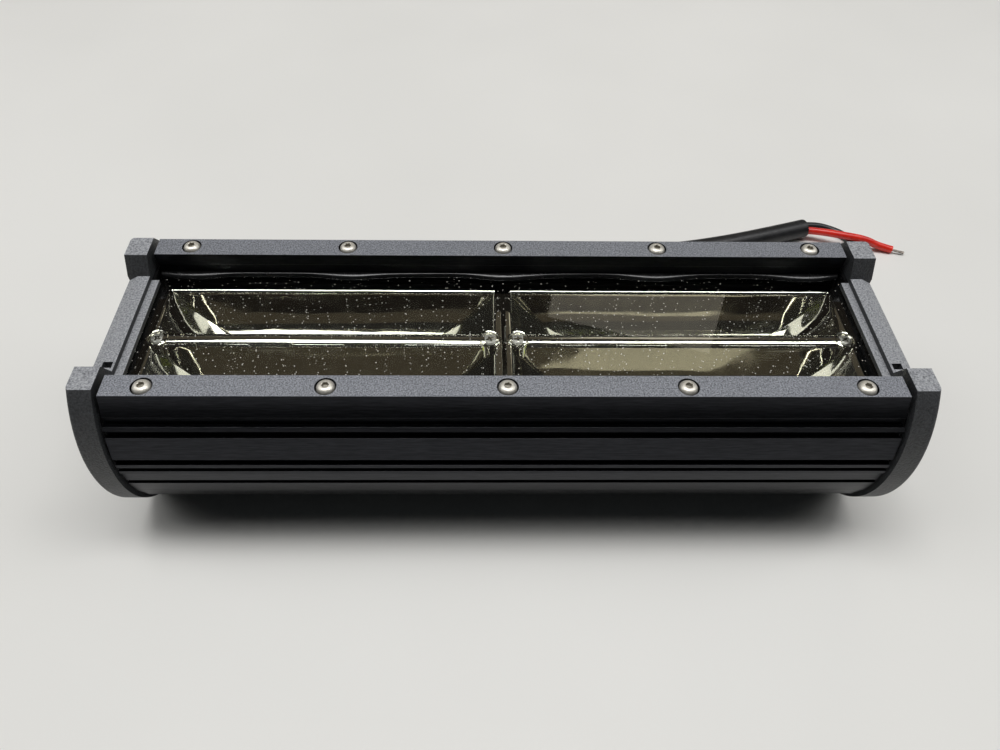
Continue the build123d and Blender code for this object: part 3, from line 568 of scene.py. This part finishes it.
def rounded_ring(length, width, corner, long_steps=60, short_steps=16, corner_steps=7):
    """Rings of points round rectangles with round corners: half sizes and corner radius are arrays, one row
    for each ring. Each corner is an arc about its centre, and straight runs join one arc to the next."""
    length, width, corner = (np.atleast_1d(v).astype(float)[:, None] for v in (length, width, corner))
    sweep = np.linspace(0, np.pi / 2, corner_steps)[None, :]
    runs = []
    for quarter, (sx, sy) in enumerate(((1, 1), (-1, 1), (-1, -1), (1, -1))):
        angle = sweep + quarter * np.pi / 2
        runs.append(np.stack([sx * (length - corner) + corner * np.cos(angle),
                              sy * (width - corner) + corner * np.sin(angle)], axis=-1))
    ring = []
    for quarter in range(4):
        steps = long_steps if quarter % 2 == 0 else short_steps
        share = np.linspace(0, 1, steps + 2)[1:-1][None, :, None]
        start, end = runs[quarter][:, -1:], runs[(quarter + 1) % 4][:, :1]
        ring += [runs[quarter], start + (end - start) * share]
    return np.concatenate(ring, axis=1)


def trough(side, row):
    """One trough and its share of the rim: rings that rise on the parabola
    z = low + steepness (width^2 - slot width^2), turn over a small lip and run out flat to the block's edge.
    The half length grows in step with the half width, so each corner seam is a straight mitre in plan.
    Along the ridge the shelf rises by ridge_crown (1 - (1 - share)^2), share going from lip to ridge."""
    slope = 2 * steepness * mouth_half_width
    lean = math.atan(slope)
    width = np.linspace(slot_half_width, mouth_half_width - lip_radius * math.sin(lean), 26)
    height = trough_low + steepness * (width**2 - slot_half_width**2)
    turn = np.linspace(lean, 0, 6)[1:]
    width = np.append(width, width[-1] + lip_radius * (math.sin(lean) - np.sin(turn)))
    height = np.append(height, height[-1] + lip_radius * (np.cos(turn) - math.cos(lean)))
    height += block_top - height[-1]
    length = slot_half_length + (width - slot_half_width) * (
        (mouth_half_length - slot_half_length) / (mouth_half_width - slot_half_width))
    ring = rounded_ring(length, width, 0.35 + 0.06 * (width - slot_half_width))
    x, y = ring[..., 0], ring[..., 1]
    ripple = ripple_rise * np.sin(x / 5.3 + side) * np.sin(y * 0.55 + x / 19.0 + row)
    points = np.concatenate([ring, np.repeat(height[:, None, None], ring.shape[1], axis=1)], axis=-1)
    points[..., 2] += ripple
    points[..., 1] += trough_y
    edge = rounded_ring(block_length / 2, half_block_width / 2, 0.05)
    rim = np.concatenate([edge, np.full(edge.shape[:2] + (1,), block_top)], axis=-1)
    rim[..., 1] += half_block_width / 2
    share = np.linspace(0, 1, 6)[1:, None, None]
    shelf = points[-1:] + (rim - points[-1:]) * share
    ridge_side = (np.abs(rim[..., 1]) < 0.01) & (np.abs(rim[..., 0]) < mouth_half_length)
    shelf[..., 2] += ridge_crown * (1 - (1 - share[..., 0]) ** 2) * ridge_side
    points = np.concatenate([points, shelf])
    points[..., 0] += side * block_x
    if row < 0:
        points = points[:, ::-1] * (1, -1, 1)
    return points


post_xs = (4.7, 114.5)
# Aluminium vapour on moulded plastic under lacquer: a slightly grey mirror. Shallow sink marks bend what it
# shows, flow lines streak it, and patches of haze soften it.
mirror_film, film_place = new_finish("vacuum_metallised_plastic")
film_patterns = []
for size, stretch, detail in ((14.0, (2.2, 1, 1), 1.0), (1.6, (14, 1, 1), 2.0), (5.0, (1, 1, 1), 4.0)):
    film_scale = [1 / (size * mm * s) for s in stretch]
    film_spot = add_node(mirror_film, "ShaderNodeMapping", {"Vector": film_place, "Scale": film_scale})
    film_noise = {"Vector": film_spot.outputs[0], "Scale": 1.0, "Detail": detail}
    film_patterns.append(add_node(mirror_film, "ShaderNodeTexNoise", film_noise).outputs[0])
sink_marks, flow_lines, cloudy = film_patterns
dents = {"Height": sink_marks, "Distance": 0.25 * mm}
sunk = add_node(mirror_film, "ShaderNodeBump", dents).outputs["Normal"]
streaked = {"Height": flow_lines, "Distance": 0.006 * mm, "Normal": sunk}
haze = {"Value": cloudy, "From Min": 0.35, "From Max": 0.8, "To Min": 0.02, "To Max": 0.12}
film_tone = {0: sink_marks, 6: linear("cfcdc4"), 7: linear("dedcd2")}
film_shader = add_node(mirror_film, "ShaderNodeBsdfPrincipled", {
    "Metallic": 1.0,
    "Base Color": add_node(mirror_film, "ShaderNodeMix", film_tone, data_type="RGBA").outputs[2],
    "Roughness": add_node(mirror_film, "ShaderNodeMapRange", haze).outputs["Result"],
    "Normal": add_node(mirror_film, "ShaderNodeBump", streaked).outputs["Normal"],
})
add_node(mirror_film, "ShaderNodeOutputMaterial", {"Surface": film_shader.outputs[0]})
post_foot, post_seat, post_top = 36.6, 53.9, 54.9
post_flat = 3.75
# Each post: place along the bar, draft in degrees, turn of its flat in degrees, and way to the LEDs.
post_kinds = ((post_xs[0], 11.0, 6.0, 1), (post_xs[1], 7.0, 21.0, -1))


def post(side, x, draft, lean, way):
    """Screw post: a round collar over a six-sided body that widens downwards by the tangent of its draft.
    The body's turn was found by trial, so that a flat shows a glint of the LEDs."""
    foot = post_flat + math.tan(math.radians(draft)) * (post_top - post_foot)
    collar = [(0, post_seat, 0), (2.75, post_seat, 0), (2.85, post_top + 0.1, 0), (3.0, post_top + 0.35, 0),
              (3.3, post_top + 0.45, 0), (3.6, post_top + 0.3, 0), (post_flat, post_top, 0)]
    body = [(post_flat, post_top - 0.6, 1), (foot, post_foot, 1), (0, post_foot, 0)]
    turn = math.radians(30 - side * way * lean)
    return turned(collar + body, (side * x, 0, 0), (0, 0, 1), sides=72, turn=turn)


# The posts' feet run into each other between the blocks, and through the gasket into the cap past the
# blocks' ends. The wall's thickness goes on the side towards the lens, so the mirror that
# shows lies that much inside the parabola, and the tops that much above block_top.
for side, word in ((-1, "left"), (1, "right")):
    walls = [(trough(side, row), True, 0) for row in (1, -1)]
    block = skin(f"reflector_{word}_trough", walls, [mirror_film], crease=40, closed=False)
    wall = block.modifiers.new("wall_thickness", "SOLIDIFY")
    wall.thickness = wall_thick * mm
    wall.offset = -1
    stands_for(block, "metallised_reflector", f"reflector_{word}")
    posts = [(post(side, *kind), True, 0) for kind in post_kinds]
    post_pair = skin(f"reflector_{word}_posts", posts, [mirror_film], crease=28)
    stands_for(post_pair, "metallised_reflector")


arm_half_width = 0.26      # of a cross recess one unit to the arms' tips


def cross(angle):
    """Outline of a cross recess, one unit to the arms' tips: as wide as its arms between them."""
    beside = np.abs(np.sin(((angle + np.pi / 4) % (np.pi / 2)) - np.pi / 4))
    return np.minimum(1.0, arm_half_width / np.maximum(beside, 0.05))


# Zinc on rolled steel: a rough, blotched silver.
rough_steel = drifting_finish(
    "zinc_plated_cross_screw", ("8e8c88", "d0cec8"), tone_mm=0.5, rough=(0.3, 0.5), rough_mm=0.4,
    relief=0.06, relief_mm=0.3, sockets=bare)
pan_shank_radius, pan_shank_length = 1.45, 21.6
pan_profile = [(0, 0.4, 1), (0.9, 0.5, 1), (1.4, 1.35, 1), (1.5, 1.4, 0), (2.0, 1.25, 0), (2.35, 0.9, 0),
               (2.5, 0.5, 0), (2.5, 0.0, 0), (pan_shank_radius, 0.0, 0),
               (pan_shank_radius, -pan_shank_length, 0), (0, -pan_shank_length, 0)]
pan_screws = []
for side in (-1, 1):
    for k, x in enumerate(post_xs):
        screw = turned(pan_profile, (side * x, 0, post_seat), (0, 0, 1), turn=0.5 + side + k, outline=cross)
        pan_screws.append((screw, True, 0))
post_screws = skin("reflector_post_screws", pan_screws, [rough_steel], crease=24)
stands_for(post_screws, "stainless", "reflector_screws")

# ---- LED boards and LEDs ----
# White solder mask on an aluminium board, with a thermal pad under it. Each row has surface-mount
# packages: a white ceramic base under a low dome of silicone, yellow with phosphor.
led_pitch, led_count = 4.4, 16
board_top = 36.6
base_half, base_high = 1.5, 0.42
dome_half, dome_low = 1.48, 0.38
base_rows = [(0, base_high, 0), (base_half, base_high, 1), (base_half, 0, 1), (0, 0, 0)]
dome_rows = [(0, 0.75, 0), (0.8, 0.7, 0), (1.3, 0.55, 0), (dome_half, dome_low, 0), (0, dome_low, 0)]


def square(angle):
    """Radius of a square one unit from centre to flat: 1 / cos(angle from the nearest flat's middle)."""
    return 1 / np.cos((angle % (np.pi / 2)) - np.pi / 4)


# Printed white lacquer and fired ceramic: clean whites, the board's a little glossier.
white_mask = drifting_finish(
    "white_solder_mask", ("d6d6cc", "e6e6dd"), tone_mm=1.5, rough=(0.3, 0.43), rough_mm=1.0,
    relief=0.01, relief_mm=0.5)
ceramic = drifting_finish(
    "white_led_ceramic", ("d9d5c8", "e8e4d8"), tone_mm=1.5, rough=(0.4, 0.53), rough_mm=1.0,
    relief=0.01, relief_mm=0.5)
# Phosphor powder in clear silicone: a strong yellow-green under a wet gloss.
phosphor = drifting_finish(
    "yellow_phosphor_under_silicone", ("bdd404", "dcf014"), tone_mm=0.6, rough=(0.25, 0.38),
    rough_mm=0.4, relief=0.01, relief_mm=0.2, sockets={"Coat Weight": 1.0, "Coat Roughness": 0.08})
for side, word in ((-1, "left"), (1, "right")):
    leds = []
    for row in (-1, 1):
        for k in range(led_count):
            spot = (side * block_x + (k - (led_count - 1) / 2) * led_pitch, row * trough_y, board_top)
            base = turned(base_rows, spot, (0, 0, 1), sides=8, turn=np.pi / 8, outline=square)
            dome = turned(dome_rows, spot, (0, 0, 1), sides=10)
            leds += [(base, True, 0), (dome, True, 1)]
    led_row = skin(f"led_packages_{word}", leds, [ceramic, phosphor], crease=50)
    stands_for(led_row, "phosphor", f"led_chips_{word}")


def refinish(finish, *nodes):
    """Give these CAD nodes, whose shape stays, this finish on every slot."""
    for node in nodes:
        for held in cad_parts[node].material_slots:
            held.material = finish


refinish(white_mask, "led_board_left", "led_board_right")
refinish(rough_steel, "board_screws", "driver_screws")
# Filled silicone sheet: a matt blue-grey.
thermal_pad = drifting_finish(
    "grey_thermal_pad", ("6f7f88", "8595a0"), tone_mm=1.0, rough=(0.65, 0.78), rough_mm=0.7,
    relief=0.04, relief_mm=0.3)
refinish(thermal_pad, "thermal_pad_left", "thermal_pad_right")

# ---- Lens seal ----
# A bead of black silicone between each rail and the lens. The screws squeeze it, so it
# creeps out further beside each of them, and its skin is glossy.
bead_length, bead_steps, face_steps = 236.6, 240, 9
bead_inner, bead_back = 26.6, 28.2     # from the middle plane, where it starts to show and where it ends
bead_low, back_high = 59.0, 60.05      # the lens's upper face, and the hidden edge, up inside the rail
squeeze_width = 11.0                   # how far along the bar a screw's squeeze is felt
# Cured silicone: black, with a wet shine on its skin.
silicone = drifting_finish(
    "black_silicone_skin", ("0b0b0c", "151516"), tone_mm=3.0, rough=(0.16, 0.28), rough_mm=2.1,
    relief=0.01, relief_mm=0.9)
bead_x = np.linspace(-bead_length / 2, bead_length / 2, bead_steps)
squeezed = np.exp(-((bead_x[:, None] - rail_screw_xs[None, :]) / squeeze_width) ** 2).sum(axis=1)
reach = 0.9 + 1.7 * squeezed + 0.15 * np.sin(bead_x / 7.3)
rise = 1.05 + 0.2 * squeezed
turn = np.linspace(0, np.pi / 2, face_steps)[None, :]
beads = []
# A quarter ellipse, reach wide and rise high, carried along the bar, with a flat back and foot.
for side in (-1, 1):
    inner_y = side * (bead_inner - reach[:, None] * np.sin(turn))
    over_z = bead_low + rise[:, None] * np.cos(turn)
    face = np.stack([np.repeat(bead_x[:, None], face_steps, axis=1), inner_y, over_z], axis=-1)
    back_y = np.full(bead_steps, side * bead_back)
    back = np.stack([bead_x, back_y, np.full(bead_steps, back_high)], axis=-1)[:, None]
    foot = np.stack([bead_x, back_y, np.full(bead_steps, bead_low)], axis=-1)[:, None]
    ring = np.concatenate([foot, back, face], axis=1)
    ends = [np.repeat(ring[k].mean(axis=0)[None, None], ring.shape[1], axis=1) for k in (0, -1)]
    beads.append((np.concatenate([ends[0], ring, ends[1]]), True, 0))
seal = skin("lens_seal_bead", beads, [silicone], crease=50)
stands_for(seal, "silicone", "lens_gasket_upper")
refinish(silicone, "lens_gasket_lower", "cap_gasket_left", "cap_gasket_right", "gland_seal")

# ---- End caps ----
# Die-cast aluminium, powder coated in a sandy black that sparkles. Its corners are a little lighter,
# rubbed coat and a painted highlight, and faces that look up carry painted light.
faces_up = 0.85            # upward part of a face's normal
# Textured powder coat: gritty grains that catch the light one by one, so that what faces up looks a
# speckled grey. The real coat is one finish. Here faces that look up have a lighter one of their own,
# painted light.
# The grains are drawn 0.6 mm across, about twice the real size, so that they show.
powder = drifting_finish(
    "sandy_black_powder_coat", ("1a1b1d", "3e4043"), tone_mm=0.6, rough=(0.42, 0.52), rough_mm=8.0,
    relief=0.12, relief_mm=0.6, sockets={"Specular IOR Level": 0.6})
powder_painted_top_light = drifting_finish(
    "powder_coat_painted_top_light", ("606267", "b4b6ba"), tone_mm=0.6, rough=(0.42, 0.52), rough_mm=8.0,
    relief=0.12, relief_mm=0.6, sockets={"Specular IOR Level": 0.7})
# The rounded corners' lighter tone is rubbed coat and also a painted highlight.
powder_wear_and_painted_highlight = drifting_finish(
    "powder_edge_wear_and_painted_highlight", ("5c5e62", "86888c"), tone_mm=0.6, rough=(0.36, 0.46), rough_mm=8.0,
    relief=0.05, relief_mm=0.6, sockets={"Specular IOR Level": 0.7})
for word in ("left", "right"):
    cap = softened(f"end_cap_{word}", f"end_cap_{word}_cast", 0.35, [powder, powder_painted_top_light, powder_wear_and_painted_highlight])
    # Faces that look up take the lighter finish, painted light on the tops.
    painted_light_tops = face_rows(cap, "normal")[:, 2] > faces_up
    cap.data.polygons.foreach_set("material_index", painted_light_tops.astype(np.int32))
    stands_for(cap, "powder_coat", f"end_cap_{word}")

# ---- Cap screws ----
# Stainless M4 button heads, four in each cap, sunk in counterbores. They pull the cap and its
# gasket against the housing's end.
cap_screw_seat = 124.9     # from the bar's middle
cap_screw_yz = ((33.2, 46.5), (-33.2, 46.5), (30.0, 24.0), (-30.0, 24.0))
m4_head_radius, m4_head_high = 3.8, 2.2
m4_socket_flat = 1.25
m4_shank_radius, m4_shank_length = 1.95, 16.0
for side, word in ((-1, "left"), (1, "right")):
    cap_screws = button_screws(
        f"cap_screws_{word}_m4", [(side * cap_screw_seat, y, z) for y, z in cap_screw_yz], (side, 0, 0),
        (m4_head_radius, m4_head_high, m4_socket_flat, m4_shank_radius, m4_shank_length), step=0.7)
    stands_for(cap_screws, "stainless", f"cap_screws_{word}")

# ---- Breather vent ----
# A moulded black plug, pressed into the left cap, that lets the bar breathe.
# Its stem goes through the cap's wall, and its head lies in a counterbore.
# Moulded nylon: an even soft black.
black_moulding = drifting_finish(
    "moulded_black_nylon", ("101011", "1a1a1b"), tone_mm=1.5, rough=(0.37, 0.5), rough_mm=1.0,
    relief=0.01, relief_mm=0.5)
vent_low, vent_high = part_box("breather_vent")
vent_x, vent_z = vent_low.x / mm, (vent_low.z + vent_high.z) / 2 / mm
vent_rows = [(0, 0.5, 0), (1.6, 0.5, 0), (1.7, 0.2, 0), (2.4, 0.2, 0), (2.5, 0, 0), (4.3, 0, 0),
             (5.0, 0.35, 0), (5.2, 0.8, 0), (5.2, 2.2, 0), (2.4, 2.2, 0), (2.4, 7.1, 0), (0, 7.1, 0)]
vent_grid = turned(vent_rows, (vent_x, 0, vent_z), (1, 0, 0), sides=40)
vent = skin("breather_plug", [(vent_grid, True, 0)], [black_moulding], crease=30)
stands_for(vent, "black_plastic", "breather_vent")

# ---- Gland body and lock nut ----
# The gland's turned brass body passes through the housing's wall, and the lock nut holds it from
# inside. Both are nickel plated, as the driver's brass standoffs are.
gland_body = softened("gland_body", "gland_body_brass", 0.2, [nickel])
stands_for(gland_body, "brass_nickel", "gland_body")
refinish(nickel, "gland_lock_nut", "driver_standoffs")

# ---- Driver ----
# A green circuit board in the rear chamber with an inductor, capacitors, chips and a terminal block,
# and PVC leads up to the LED boards. Glossy green lacquer and moulded nylon: even, close tones.
green_mask = drifting_finish(
    "green_solder_mask", ("0d3a1e", "15492a"), tone_mm=1.5, rough=(0.25, 0.38), rough_mm=1.0,
    relief=0.01, relief_mm=0.5)
green_nylon = drifting_finish(
    "green_terminal_nylon", ("1a6b3a", "238047"), tone_mm=1.5, rough=(0.35, 0.48), rough_mm=1.0,
    relief=0.01, relief_mm=0.5)
refinish(green_mask, "driver_board")
refinish(green_nylon, "terminal_block")
refinish(black_moulding, "driver_inductor", "driver_capacitors", "driver_chips")
refinish(red_insulation, "supply_lead_red", "led_lead_right")
refinish(black_insulation, "supply_lead_black", "led_lead_left")
refinish(black_sheath, "cable_inner")
